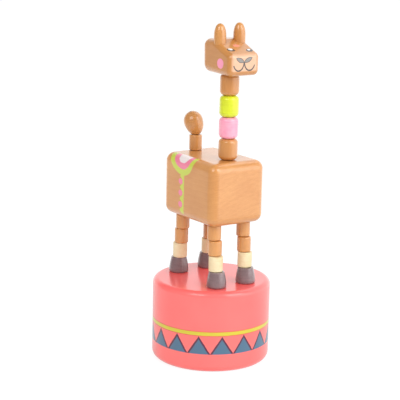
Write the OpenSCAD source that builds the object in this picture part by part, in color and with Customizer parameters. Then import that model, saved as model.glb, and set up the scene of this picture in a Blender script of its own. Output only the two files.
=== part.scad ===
// Push puppet: a jointed wooden llama that stands on a hollow turned drum.
// Cords run from the button in the drum through hooves, legs, body, neck and tail.
// Millimetres. Drum foot on z = 0, drum axis on Z, the llama faces -Y.

/* [Drum] */
// Outside radius of the drum
drum_r = 25; // [22:0.5:30]
// Height of the drum
drum_h = 34.8; // [30:0.2:42]
// Wall round the bore
drum_wall = 4.8; // [4:0.2:6]
// Thickness of the drum's top
drum_top = 7.8; // [5:0.2:9]
// Rounding of the top edge
drum_top_round = 2; // [1:0.1:3]
// Rounding of the foot edge
drum_foot_round = 3; // [1.5:0.1:3.6]
// Chamfer inside the foot
foot_chamfer = 0.6; // [0.3:0.1:0.8]

/* [Button] */
// Thickness of the push button
button_t = 6; // [5:0.2:8]
// Height of the button's face above the foot
button_recess = 2.2; // [1.2:0.2:3]
// Radial clearance of the button in the bore
button_clear = 0.4; // [0.2:0.05:0.8]
// Rounding of the button's edges
button_round = 1; // [0.5:0.1:1.5]
// Depth of the sinks that take the knots
knot_sink = 3; // [2.6:0.1:3.6]
// Height of the boss that centres the spring
boss_h = 1.5; // [0.8:0.1:2.5]

/* [Spring] */
// Mean radius of the coil
spring_r = 10.5; // [8:0.25:11]
// Radius of the spring wire
wire_r = 0.6; // [0.4:0.05:0.8]
// Number of turns
spring_turns = 5; // [4:1:6]
// Clearance of the coil at boss, button and drum top
spring_clear = 0.15; // [0.05:0.05:0.4]

/* [Cords] */
// Radius of a cord
cord_r = 0.5; // [0.35:0.05:0.6]
// Radial clearance of a cord in the button
hole_clear = 0.4; // [0.3:0.05:0.5]
// Radial clearance of a cord in drum, hooves and leg beads
bore_clear = 0.8; // [0.6:0.05:0.9]
// Radial clearance of a cord in the body
body_clear = 0.3; // [0.25:0.05:0.4]
// Wood between the two tail holes at the top of the body
hole_web = 0.3; // [0.2:0.05:0.4]
// Clearance round the pair of cords in neck and tail
pair_clear = 0.2; // [0.15:0.01:0.25]
// How far a knot is wider than its hole in the button
knot_over = 0.35; // [0.25:0.05:0.45]
// Radial clearance of a knot in its sink
sink_clear = 0.55; // [0.4:0.05:0.7]
// Half the distance between the two cords in the neck
neck_cord_x = 1.2; // [1:0.05:1.3]
// Half the distance between the two cords in the tail
tail_cord_x = 0.85; // [0.8:0.05:0.9]

/* [Legs] */
// Distance from the body's side to a leg's axis
leg_inset_x = 6.1; // [5:0.1:7]
// Distance from the body's end to a leg's axis at the body
leg_inset_y = 7.2; // [6:0.1:9]
// How much further out a leg stands on the drum than at the body
leg_splay = 2.9; // [0:0.1:3.2]
// Radius of a hoof at its foot
hoof_r = 4.2; // [3.6:0.1:4.8]
// Radius of a hoof at its top
hoof_top_r = 3.25; // [3:0.05:3.5]
// Height of a hoof
hoof_h = 6.7; // [5.5:0.1:8]
// How far a hoof's side swells
hoof_bulge = 0.16; // [0:0.02:0.3]
// Radius of a tan leg bead
bead_r = 2.9; // [2.6:0.05:3.4]
// Radius of a cream cuff bead
cuff_r = 3; // [2.6:0.05:3.4]
// Height of each leg bead
bead_h = 6.4; // [5:0.1:8]
// Rounding of the tan leg beads
bead_round = 0.55; // [0.3:0.05:0.8]
// Rounding of the cream cuff beads
cuff_round = 0.3; // [0.2:0.05:0.6]
// Gap between two pieces that rest on each other
rest_gap = 0.1; // [0.05:0.01:0.2]

/* [Body] */
// Width of the body
torso_w = 27; // [24:0.2:30]
// Length of the body
torso_l = 37.2; // [35:0.2:42]
// Height of the body
torso_h = 26.4; // [22:0.2:30]
// Rounding of the body's edges
torso_round = 3.8; // [2:0.1:4.2]

/* [Neck] */
// Distance from the body's chest to the neck's axis
neck_inset = 8.8; // [8:0.2:12]
// Radius of a neck bead
neck_r = 4; // [3.6:0.05:4.5]
// Height of a neck bead
neck_h = 8.85; // [7.5:0.05:10]
// Rounding of the neck beads
neck_round = 1.4; // [0.8:0.05:1.6]

/* [Head] */
// Width of the head
head_w = 15; // [14:0.2:18]
// Height of the head at the crown
head_h = 13.9; // [12.5:0.1:16]
// Height of the muzzle
muzzle_h = 9.5; // [8:0.1:11]
// Distance from the neck's axis to the muzzle's face
head_front = 10.4; // [9.4:0.2:12]
// Distance from the neck's axis to the back of the head
head_back = 10.1; // [9.5:0.1:11.5]
// Length of the flat crown
crown_l = 7.6; // [6.5:0.1:8.5]
// Rounding of the head's edges
head_round = 2.2; // [1.5:0.1:2.8]
// Depth of the sockets that take cords and pegs
socket_d = 8; // [7.5:0.1:8.5]
// Length of the pegs that pinch the cords
peg_l = 6; // [5:0.1:6.5]
// Radial clearance of an ear in its socket
glue_clear = 0.05; // [0.03:0.01:0.1]
// How far a peg reaches past the cords' centres
peg_over = 0.3; // [0.2:0.05:0.35]
// Clearance of a cord in a peg's groove
groove_clear = 0.08; // [0.05:0.01:0.12]

/* [Ears] */
// Half the distance between the ears
ear_x = 4.8; // [4:0.1:5]
// Distance from the back of the head to the ears' axis
ear_inset = 9.3; // [8.5:0.1:10]
// Radius of an ear
ear_r = 2.55; // [2.1:0.05:2.6]
// Height of an ear above the crown
ear_h = 6.6; // [5:0.1:9]
// Depth of an ear in the head
ear_in = 4.2; // [3.6:0.1:4.6]

/* [Tail] */
// Distance from the body's rump to the tail's axis
tail_inset = 4.4; // [4:0.1:7]
// Radius of the tail bead
tail_r = 2.75; // [2.6:0.05:3.2]
// Height of the tail bead
tail_h = 6.6; // [5:0.1:8]
// Rounding of the tail bead
tail_round = 0.4; // [0.2:0.05:0.6]
// Widest radius of the egg-shaped knob
knob_r = 4.1; // [3.5:0.1:5]
// Length of the knob
knob_l = 10.6; // [9:0.1:12]
// Share of the knob's length that lies below its widest place
knob_low = 0.59; // [0.52:0.01:0.65]
// How far the knob leans back
knob_lean = 14; // [0:1:20]
// Depth of the knob's tip in the tail bead's mouth
knob_seat = 0.35; // [0.1:0.05:0.35]

/* [Hidden] */
$fn = 64;
tan_wood = [0.87, 0.62, 0.38];
coral = [0.98, 0.48, 0.46];
cream = [0.95, 0.87, 0.68];
mauve = [0.42, 0.36, 0.37];
lemon = [0.90, 0.95, 0.20];
rose = [0.98, 0.66, 0.78];
cotton = [0.93, 0.90, 0.83];
steel = [0.70, 0.71, 0.73];

drum_bore = drum_r - drum_wall;
cavity_top = drum_h - drum_top;
button_r = drum_bore - button_clear;
button_top = button_recess + button_t;

leg_x = torso_w / 2 - leg_inset_x;
leg_y = torso_l / 2 - leg_inset_y;
neck_y = -torso_l / 2 + neck_inset;
tail_y = torso_l / 2 - tail_inset;

hoof_top = drum_h + hoof_h;
torso_z = bead_z(3);
torso_top = torso_z + torso_h;
head_z = neck_z(4);
crown_z = head_z + head_h;
head_rear = neck_y + head_back;
muzzle_y = neck_y - head_front;
ear_y = head_rear - ear_inset;

guide_r = cord_r + bore_clear;
button_hole_r = cord_r + hole_clear;
knot_r = button_hole_r + knot_over;
knot_sink_r = knot_r + sink_clear;
torso_bore = cord_r + body_clear;
neck_bore = neck_cord_x + cord_r + pair_clear;
tail_exit_x = torso_bore + hole_web / 2;
tail_socket_r = tail_cord_x + cord_r + pair_clear;
tail_bore = tail_socket_r + 0.1;
groove_r = cord_r + groove_clear;
tail_z = torso_top + rest_gap;
tail_top = tail_z + tail_h;
knob_mid = knob_l * knob_low;
knob_tip_r = knob_r * knob_r / knob_mid;

spring_low = button_top + wire_r + spring_clear;
spring_high = cavity_top - wire_r - spring_clear;
spring_pitch = (spring_high - spring_low) / spring_turns;
spring_facets = 12;
boss_r = spring_r * cos(180 / spring_facets) - wire_r - spring_clear;
echo(str("least gap between the spring's turns: ", spring_pitch - 2 * wire_r));

// Front right, front left, rear right, rear left as signs of x and y
FR = [-1, -1];
FL = [1, -1];
RR = [-1, 1];
RL = [1, 1];

// Foot of the leg bead with the given number from the hoof up
function bead_z(i) = hoof_top + rest_gap + i * (bead_h + rest_gap);
// Foot of the neck bead with the given number from the body up
function neck_z(i) = torso_top + rest_gap + i * (neck_h + rest_gap);
// Axis of one leg at a level: 0 on the drum, 1 to 3 in its beads, 3.5 at the body
function leg_at(s, k = 0) = [s[0] * leg_x, s[1] * (leg_y + leg_splay * (1 - k / 3.5))];
// Where a cord leaves the top of the body
function cord_exit(s) = s[1] < 0 ? [s[0] * neck_cord_x, neck_y, torso_top]
                                 : [s[0] * tail_exit_x, tail_y, torso_top];

// Half profile of a turned block with rounded foot and top edges
module turned_profile(r, h, low, high) {
    translate([0, low]) square([r, h - low - high]);
    square([r - low, low]);
    translate([0, h - high]) square([r - high, high]);
    translate([r - low, low]) circle(low);
    translate([r - high, h - high]) circle(high);
}

// Turned block with a bore on its axis
module bored_block(r, h, round, bore) {
    difference() {
        rotate_extrude() turned_profile(r, h, round, round);
        translate([0, 0, -1]) cylinder(r = bore, h = h + 2);
    }
}

// Straight hole between two points, run past both ends; turned so that its seam
// stays clear of the faces it meets
module drill(a, b, r, past) {
    v = b - a;
    translate(a)
        rotate([0, acos(v[2] / norm(v)), atan2(v[1], v[0])])
            rotate([0, 0, 25])
                translate([0, 0, -past])
                    cylinder(r = r, h = norm(v) + 2 * past);
}

// Tube through rings given as [x, y, z, radius], with level rings
module level_tube(rings, sides = 8) {
    n = len(rings);
    pts = [for (q = rings) for (k = [0 : sides - 1])
        [q[0] + q[3] * cos(360 * k / sides), q[1] + q[3] * sin(360 * k / sides), q[2]]];
    foot = [[for (k = [0 : sides - 1]) k]];
    top = [[for (k = [sides - 1 : -1 : 0]) (n - 1) * sides + k]];
    skin = [for (i = [0 : n - 2]) for (k = [0 : sides - 1])
        [i * sides + k, (i + 1) * sides + k,
         (i + 1) * sides + (k + 1) % sides, i * sides + (k + 1) % sides]];
    polyhedron(pts, concat(foot, top, skin));
}

// One cord from its knot under the button, on through the given end points
module cord(s, ends) {
    p = leg_at(s);
    w = leg_at(s, 3.5);
    q = cord_exit(s);
    k = button_recess + knot_sink - 2.2;
    color(cotton)
        level_tube(concat(
            [for (g = [[0, 0.4], [0.35, 0.85], [0.9, 1], [1.45, 0.85], [1.9, 0.5]])
                [p[0], p[1], k + g[0], g[1] * knot_r]],
            [for (z = [k + 2.3, button_top, cavity_top, drum_h, drum_h + hoof_h / 2])
                [p[0], p[1], z, cord_r]],
            [for (i = [0 : 2])
                [p[0], leg_at(s, i + 1)[1], bead_z(i) + bead_h / 2, cord_r]],
            [for (t = [0, 0.35, 0.65, 0.97])
                [w[0] + t * (q[0] - w[0]), w[1] + t * (q[1] - w[1]),
                 torso_z + t * torso_h, cord_r]],
            [for (e = ends) [s[0] * e[0], e[1], e[2], cord_r]]));
}

// Points of a front cord above the body: up the neck to the end of the head's socket
function neck_ends() = [for (z = [neck_z(0), neck_z(1), neck_z(2), neck_z(3), head_z,
                                  head_z + socket_d - 0.5]) [neck_cord_x, neck_y, z]];

// Point on the leaning axis of the tail knob at a height above its tip
function knob_point(h) = [tail_cord_x, tail_y + (h - knob_tip_r) * sin(knob_lean),
    tail_top - knob_seat + knob_tip_r + (h - knob_tip_r) * cos(knob_lean)];

// Points of a rear cord above the body: through the tail bead into the knob's socket
function tail_ends() = [[tail_exit_x, tail_y, tail_z],
                        [tail_cord_x, knob_point(1)[1], tail_top - 0.4],
                        knob_point(1), knob_point(socket_d - 0.5)];

// Hoof: a flared foot with a rounded rim, bored for the cord
module hoof(s) {
    p = leg_at(s);
    rim = 0.6;
    lip = 0.3;
    color(mauve)
        translate([p[0], p[1], drum_h])
            difference() {
                rotate_extrude()
                    polygon(concat(
                        [[0, 0], [hoof_r - rim, 0]],
                        [for (a = [-60 : 30 : 0])
                            [hoof_r - rim + rim * cos(a), rim + rim * sin(a)]],
                        [for (t = [0.125 : 0.125 : 0.875])
                            [hoof_r + t * (hoof_top_r - hoof_r) + hoof_bulge * sin(180 * t),
                             rim + t * (hoof_h - rim - lip)]],
                        [for (a = [0 : 30 : 90])
                            [hoof_top_r - lip + lip * cos(a), hoof_h - lip + lip * sin(a)]],
                        [[0, hoof_h]]));
                translate([0, 0, -1]) cylinder(r = guide_r, h = hoof_h + 2);
            }
}

// Leg bead with the given number from the hoof up
module leg_bead(s, i, r, round, paint) {
    p = leg_at(s, i + 1);
    color(paint)
        translate([p[0], p[1], bead_z(i)])
            bored_block(r, bead_h, round, guide_r);
}

// Neck bead with the given number from the body up
module neck_bead(i, paint) {
    color(paint)
        translate([0, neck_y, neck_z(i)])
            bored_block(neck_r, neck_h, neck_round, neck_bore);
}

// Ear: a dowel with a bullet point, glued into the head
module ear(sx) {
    straight = 0.22 * ear_h;
    color(tan_wood)
        translate([sx * ear_x, ear_y, crown_z])
            rotate_extrude()
                polygon(concat(
                    [[0, -ear_in], [ear_r, -ear_in]],
                    [for (a = [0 : 9 : 81])
                        [ear_r * pow(cos(a), 0.85), straight + (ear_h - straight) * sin(a)]],
                    [[0, ear_h]]));
}

// Peg with two grooves that pinch the cords in a socket
module cord_peg(groove_x) {
    difference() {
        cylinder(r = groove_x + peg_over, h = peg_l);
        for (sx = [-1, 1])
            translate([sx * groove_x, 0, -1]) cylinder(r = groove_r, h = peg_l + 2);
    }
}

// Place of the tail knob: its round tip sits in the tail bead's mouth and it leans back
module on_tail() {
    translate([0, tail_y, tail_top - knob_seat + knob_tip_r])
        rotate([-knob_lean, 0, 0])
            translate([0, 0, -knob_tip_r])
                children();
}

module base_drum() {
    color(coral)
        difference() {
            rotate_extrude($fn = 128)
                turned_profile(drum_r, drum_h, drum_foot_round, drum_top_round);
            translate([0, 0, -1]) cylinder(r = drum_bore, h = cavity_top + 1);
            translate([0, 0, -foot_chamfer])
                cylinder(r1 = drum_bore + 2 * foot_chamfer, r2 = drum_bore, h = 2 * foot_chamfer);
            for (s = [FR, FL, RR, RL])
                translate([leg_at(s)[0], leg_at(s)[1], cavity_top - 1])
                    cylinder(r = guide_r, h = drum_top + 2);
        }
}

module push_button() {
    color(tan_wood)
        difference() {
            union() {
                translate([0, 0, button_recess])
                    rotate_extrude($fn = 96)
                        turned_profile(button_r, button_t, button_round, button_round);
                translate([0, 0, button_top - 0.5])
                    cylinder(r = boss_r, h = boss_h + 0.5);
            }
            for (s = [FR, FL, RR, RL])
                translate([leg_at(s)[0], leg_at(s)[1], button_recess - 1]) {
                    cylinder(r = button_hole_r, h = button_t + boss_h + 3);
                    cylinder(r = knot_sink_r, h = knot_sink + 1);
                }
        }
}

module return_spring() {
    sides = 6;
    n = spring_turns * spring_facets + 1;
    pts = [for (i = [0 : n - 1]) for (k = [0 : sides - 1])
        let (a = 360 * i / spring_facets, b = 360 * k / sides,
             r = spring_r + wire_r * cos(b))
            [r * cos(a), r * sin(a),
             spring_low + spring_pitch * i / spring_facets + wire_r * sin(b)]];
    foot = [[for (k = [sides - 1 : -1 : 0]) k]];
    top = [[for (k = [0 : sides - 1]) (n - 1) * sides + k]];
    skin = [for (i = [0 : n - 2]) for (k = [0 : sides - 1])
        [i * sides + k, i * sides + (k + 1) % sides,
         (i + 1) * sides + (k + 1) % sides, (i + 1) * sides + k]];
    color(steel) polyhedron(pts, concat(foot, top, skin));
}

module hoof_front_right() { hoof(FR); }
module hoof_front_left() { hoof(FL); }
module hoof_rear_right() { hoof(RR); }
module hoof_rear_left() { hoof(RL); }

module cord_front_right() { cord(FR, neck_ends()); }
module cord_front_left() { cord(FL, neck_ends()); }
module cord_rear_right() { cord(RR, tail_ends()); }
module cord_rear_left() { cord(RL, tail_ends()); }

module cuff_front_right() { leg_bead(FR, 0, cuff_r, cuff_round, cream); }
module cuff_front_left() { leg_bead(FL, 0, cuff_r, cuff_round, cream); }
module cuff_rear_right() { leg_bead(RR, 0, cuff_r, cuff_round, cream); }
module cuff_rear_left() { leg_bead(RL, 0, cuff_r, cuff_round, cream); }

module lower_leg_front_right() { leg_bead(FR, 1, bead_r, bead_round, tan_wood); }
module lower_leg_front_left() { leg_bead(FL, 1, bead_r, bead_round, tan_wood); }
module lower_leg_rear_right() { leg_bead(RR, 1, bead_r, bead_round, tan_wood); }
module lower_leg_rear_left() { leg_bead(RL, 1, bead_r, bead_round, tan_wood); }

module upper_leg_front_right() { leg_bead(FR, 2, bead_r, bead_round, tan_wood); }
module upper_leg_front_left() { leg_bead(FL, 2, bead_r, bead_round, tan_wood); }
module upper_leg_rear_right() { leg_bead(RR, 2, bead_r, bead_round, tan_wood); }
module upper_leg_rear_left() { leg_bead(RL, 2, bead_r, bead_round, tan_wood); }

module torso() {
    e = torso_round;
    color(tan_wood)
        difference() {
            hull()
                for (sx = [-1, 1], sy = [-1, 1], sz = [0, 1])
                    translate([sx * (torso_w / 2 - e), sy * (torso_l / 2 - e),
                               torso_z + e + sz * (torso_h - 2 * e)])
                        sphere(e, $fn = 36);
            for (s = [FR, FL, RR, RL])
                drill([leg_at(s, 3.5)[0], leg_at(s, 3.5)[1], torso_z], cord_exit(s), torso_bore, 0.4);
        }
}

module neck_bead_bottom() { neck_bead(0, tan_wood); }
module neck_bead_pink() { neck_bead(1, rose); }
module neck_bead_yellow() { neck_bead(2, lemon); }
module neck_bead_top() { neck_bead(3, tan_wood); }

module head() {
    e = head_round;
    side = [[head_rear - e, head_z + e], [head_rear - e, crown_z - e],
            [head_rear - crown_l, crown_z - e], [muzzle_y + e, head_z + muzzle_h - e],
            [muzzle_y + e, head_z + e]];
    color(tan_wood)
        difference() {
            hull()
                for (sx = [-1, 1], q = side)
                    translate([sx * (head_w / 2 - e), q[0], q[1]]) sphere(e, $fn = 40);
            translate([0, neck_y, head_z - 1]) cylinder(r = neck_bore, h = socket_d + 1);
            for (sx = [-1, 1])
                translate([sx * ear_x, ear_y, crown_z - ear_in])
                    cylinder(r = ear_r + glue_clear, h = ear_in + 2);
        }
}

module head_peg() {
    color(tan_wood)
        translate([0, neck_y, head_z + socket_d - peg_l])
            cord_peg(neck_cord_x);
}

module ear_right() { ear(-1); }
module ear_left() { ear(1); }

module tail_bead() {
    color(tan_wood)
        translate([0, tail_y, tail_z]) bored_block(tail_r, tail_h, tail_round, tail_bore);
}

module tail_knob() {
    color(tan_wood)
        on_tail()
            difference() {
                rotate_extrude()
                    polygon(concat(
                        [for (a = [0 : 9 : 81])
                            [knob_r * sin(a), knob_mid * (1 - cos(a))]],
                        [for (a = [90 : 9 : 171])
                            [knob_r * sin(a), knob_mid - (knob_l - knob_mid) * cos(a)]],
                        [[0, knob_l]]));
                translate([0, 0, -1]) cylinder(r = tail_socket_r, h = socket_d + 1);
            }
}

module tail_peg() {
    color(tan_wood)
        on_tail()
            translate([0, 0, socket_d - peg_l]) cord_peg(tail_cord_x);
}

base_drum();
push_button();
return_spring();
hoof_front_right();
hoof_front_left();
hoof_rear_right();
hoof_rear_left();
cord_front_right();
cord_front_left();
cord_rear_right();
cord_rear_left();
cuff_front_right();
cuff_front_left();
cuff_rear_right();
cuff_rear_left();
lower_leg_front_right();
lower_leg_front_left();
lower_leg_rear_right();
lower_leg_rear_left();
upper_leg_front_right();
upper_leg_front_left();
upper_leg_rear_right();
upper_leg_rear_left();
torso();
neck_bead_bottom();
neck_bead_pink();
neck_bead_yellow();
neck_bead_top();
head();
head_peg();
ear_right();
ear_left();
tail_bead();
tail_knob();
tail_peg();
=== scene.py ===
"""Dresses the push puppet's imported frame: a bead-jointed llama on a coral drum."""

import logging
import math
from dataclasses import dataclass
from enum import Enum
from typing import Callable, Optional, Sequence, Union

import bmesh
import bpy
from bmesh.types import BMEdge, BMesh, BMFace, BMVert
from bpy.types import Material, Node, NodeOutputs, NodeSocket, NodeTree, Object
from mathutils import Euler, Matrix, Quaternion, Vector


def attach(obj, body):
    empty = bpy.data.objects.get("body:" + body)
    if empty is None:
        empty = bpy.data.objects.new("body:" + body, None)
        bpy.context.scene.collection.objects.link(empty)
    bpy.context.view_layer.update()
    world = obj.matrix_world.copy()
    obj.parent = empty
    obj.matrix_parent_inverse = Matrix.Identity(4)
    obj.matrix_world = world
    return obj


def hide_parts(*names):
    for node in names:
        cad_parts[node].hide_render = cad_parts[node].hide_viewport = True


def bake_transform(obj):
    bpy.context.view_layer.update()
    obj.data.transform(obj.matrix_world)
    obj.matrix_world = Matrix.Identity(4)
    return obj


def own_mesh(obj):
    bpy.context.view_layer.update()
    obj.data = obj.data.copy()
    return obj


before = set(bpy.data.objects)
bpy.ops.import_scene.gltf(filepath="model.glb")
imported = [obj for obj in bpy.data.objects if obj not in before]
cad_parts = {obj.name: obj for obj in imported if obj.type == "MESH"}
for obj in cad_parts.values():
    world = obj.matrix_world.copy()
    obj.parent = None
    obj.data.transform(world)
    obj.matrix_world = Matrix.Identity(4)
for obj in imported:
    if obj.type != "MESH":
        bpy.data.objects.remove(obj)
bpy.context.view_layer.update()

LOG = logging.getLogger("push_puppet")
MM = 0.001
# Sizes in millimetres that several pieces share
DRUM_TOP, HOLLOW_TOP, STROKE, GUIDE_R = 34.8, 27.0, 9.0, 1.3
LEG_X, LEG_Y, LEG_SPLAY = 7.4, 11.4, 2.9
BODY_FOOT, BODY_TOP, TOP_SEAT = 61.1, 87.5, 87.6
NECK_X, NECK_Y, TAIL_X, TAIL_Y = 1.2, -9.8, 0.95, 14.2
# Level of the body's underside, counted in leg beads up from the drum
BODY_LEVEL = 3.5
# Edges sharper than this, in degrees, stay crisp, and points closer than this are one
CRISP, MERGE = 40.0, 1e-4
# Size along an axis that a pattern leaves out
ENDLESS = 1e6
# Millimetres between the bands of a wave texture at a scale of 1
WAVE_BAND = 0.314
Point = tuple[float, float, float]
Input = Union[float, tuple, str, NodeSocket, Node, None]


class Leg(Enum):
    """The four legs, with the signs of x and y; the llama faces -Y."""

    FRONT_RIGHT = ("front_right", -1, -1)
    FRONT_LEFT = ("front_left", 1, -1)
    REAR_RIGHT = ("rear_right", -1, 1)
    REAR_LEFT = ("rear_left", 1, 1)

    @property
    def label(self) -> str:
        """Name of the leg as the frame writes it."""
        return self.value[0]

    def axis(self, level: float = 0.0) -> tuple[float, float]:
        """Axis of the leg at a level: 0 on the drum, 1 to 3 in its beads, 3.5 at the body."""
        splay = LEG_SPLAY * (1 - level / BODY_LEVEL)
        return self.value[1] * LEG_X, self.value[2] * (LEG_Y + splay)

    @property
    def leaving(self) -> tuple[float, float]:
        """Where the leg's cord leaves the body's top: under the neck or under the tail."""
        x, y = (NECK_X, NECK_Y) if self.value[2] < 0 else (TAIL_X, TAIL_Y)
        return self.value[1] * x, y


class Kind(Enum):
    """Kinds of shader node in use: Blender's type, and the operation where it has several."""

    COORD = ("TexCoord",)
    MAPPING = ("Mapping",)
    SEPARATE = ("SeparateXYZ",)
    COMBINE = ("CombineXYZ",)
    MIX = ("Mix",)
    RANGE = ("MapRange",)
    NOISE = ("TexNoise",)
    WAVE = ("TexWave",)
    BUMP = ("Bump",)
    SHADER = ("BsdfPrincipled",)
    DIFFUSE = ("BsdfDiffuse",)
    EMISSION = ("Emission",)
    ADD_SHADER = ("AddShader",)
    MIX_SHADER = ("MixShader",)
    PATH = ("LightPath",)
    SKY = ("Background",)
    OUTPUT = ("OutputMaterial",)
    WORLD = ("OutputWorld",)
    ADD = ("Math", "ADD")
    SUBTRACT = ("Math", "SUBTRACT")
    MULTIPLY = ("Math", "MULTIPLY")
    MULTIPLY_ADD = ("Math", "MULTIPLY_ADD")
    ABSOLUTE = ("Math", "ABSOLUTE")
    MAXIMUM = ("Math", "MAXIMUM")
    SMOOTH_MAX = ("Math", "SMOOTH_MAX")
    ARCTAN2 = ("Math", "ARCTAN2")
    PINGPONG = ("Math", "PINGPONG")
    MODULO = ("Math", "FLOORED_MODULO")
    LENGTH = ("VectorMath", "LENGTH")
    NORMALIZE = ("VectorMath", "NORMALIZE")
    DOT_PRODUCT = ("VectorMath", "DOT_PRODUCT")
    MIRROR = ("VectorMath", "ABSOLUTE")


def hex_colour(text: str) -> tuple[float, float, float, float]:
    """Turns an sRGB hex colour to linear.

    Args:
        text: colour as "#rrggbb".

    Returns:
        Linear red, green, blue and an alpha of 1.
    """
    parts = [int(text[i:i + 2], 16) / 255 for i in (1, 3, 5)]
    linear = [c / 12.92 if c <= 0.04045 else ((c + 0.055) / 1.055) ** 2.4 for c in parts]
    return linear[0], linear[1], linear[2], 1.0


def join(tree: NodeTree, value: Input, socket: NodeSocket) -> None:
    """Sets a socket, or links it.

    Args:
        tree: node tree that holds the socket.
        value: a number, a vector or a hex colour sets it, a node or an output links to it,
            None leaves it.
        socket: the socket.
    """
    if isinstance(value, Node):
        value = next(s for s in value.outputs if s.enabled)
    if isinstance(value, NodeSocket):
        tree.links.new(value, socket)
    elif value is not None:
        socket.default_value = hex_colour(value) if isinstance(value, str) else value


def add(tree: NodeTree, kind: Kind, *inputs: Input, **settings: object) -> Node:
    """Adds one node with its settings and links.

    Args:
        tree: node tree to add to.
        kind: kind of node.
        inputs: what to join to each open socket in order.
        settings: the node's own properties.

    Returns:
        The new node.
    """
    name, *operation = kind.value
    node = tree.nodes.new(f"ShaderNode{name}")
    for choice in operation:
        node.operation = choice
    for key, value in settings.items():
        setattr(node, key, value)
    for socket, value in zip([s for s in node.inputs if s.enabled], inputs):
        join(tree, value, socket)
    return node


class Surface:
    """Node tree of one finish while it is put together; lengths are in millimetres."""

    def __init__(self, name: str, colour: str) -> None:
        """Starts a material of one colour.

        Args:
            name: name of the material.
            colour: its hex colour.
        """
        self.material = bpy.data.materials.new(name)
        self.material.use_nodes = True
        self.tree = self.material.node_tree
        self.tree.nodes.clear()
        spot = add(self.tree, Kind.COORD).outputs["Object"]
        self.mm = add(self.tree, Kind.MAPPING, spot, None, None, (1 / MM,) * 3)
        self.xyz = add(self.tree, Kind.SEPARATE, self.mm).outputs
        self.colour: Input = colour
        self.rough: Input = 0.4
        self.height: Input = None

    def at(self, centre: Point, size: Point = (1, 1, 1), turn: Optional[Euler] = None,
           of: Input = None) -> Node:
        """Coordinates from a centre, turned, in units of a size.

        Args:
            centre: centre in millimetres.
            size: unit along each turned axis; a huge one leaves that axis out.
            turn: turn of the axes.
            of: coordinates to start from, the piece's own by default.

        Returns:
            The mapping node.
        """
        return add(self.tree, Kind.MAPPING, of or self.mm, centre, turn or Euler(), size,
                   vector_type="TEXTURE")

    def within(self, distance: Input, edge: float, soft: float) -> Node:
        """Mask that is 1 where a distance is below an edge.

        Args:
            distance: distance field.
            edge: value at the middle of the soft edge.
            soft: half width of the soft edge.

        Returns:
            The mask's node.
        """
        return add(self.tree, Kind.RANGE, distance, edge + soft, edge - soft,
                   interpolation_type="SMOOTHSTEP")

    def oval(self, centre: Point, half: Point, turn: Optional[Euler] = None, of: Input = None,
             soft: float = 0.06) -> Node:
        """Mask of a painted oval.

        Args:
            centre: its centre in millimetres.
            half: its half lengths; the one across the surface gates the depth.
            turn: turn of its axes.
            of: coordinates to start from.
            soft: softness of its edge as a share of its size.

        Returns:
            The mask's node.
        """
        length = add(self.tree, Kind.LENGTH, self.at(centre, half, turn, of))
        return self.within(length, 1.0, soft)

    def both(self, a: Input, b: Input) -> Node:
        """Mask that holds where two masks hold."""
        return add(self.tree, Kind.MULTIPLY, a, b)

    def cover(self, mask: Input, colour: str) -> None:
        """Lays a colour over the surface where a mask holds."""
        self.colour = add(self.tree, Kind.MIX, mask, self.colour, colour, data_type="RGBA")

    def unsteady(self, per_mm: float, swing: float) -> Node:
        """Unsteadiness of a painted edge: its waves per millimetre and how far they swing."""
        noise = add(self.tree, Kind.NOISE, self.mm, per_mm, 2.0, 0.5)
        return add(self.tree, Kind.MULTIPLY_ADD, noise, swing, -swing / 2)

    def raise_by(self, height: Input, share: float) -> None:
        """Adds a share of a field to the surface's height."""
        self.height = add(self.tree, Kind.MULTIPLY_ADD, height, share, self.height or 0.0)

    def close(self, bump_mm: float, **sockets: Input) -> Material:
        """Joins colour, roughness and height to the shader.

        Args:
            bump_mm: depth that a height of 1 stands for.
            sockets: constants for the shader's sockets, with _ for a space.

        Returns:
            The finished material.
        """
        shader = add(self.tree, Kind.SHADER, self.colour)
        bump = add(self.tree, Kind.BUMP, 1.0, bump_mm * MM)
        join(self.tree, self.height, bump.inputs["Height"])
        for key, value in {"Roughness": self.rough, "Normal": bump, **sockets}.items():
            join(self.tree, value, shader.inputs[key.replace("_", " ")])
        add(self.tree, Kind.OUTPUT, shader)
        return self.material


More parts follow.
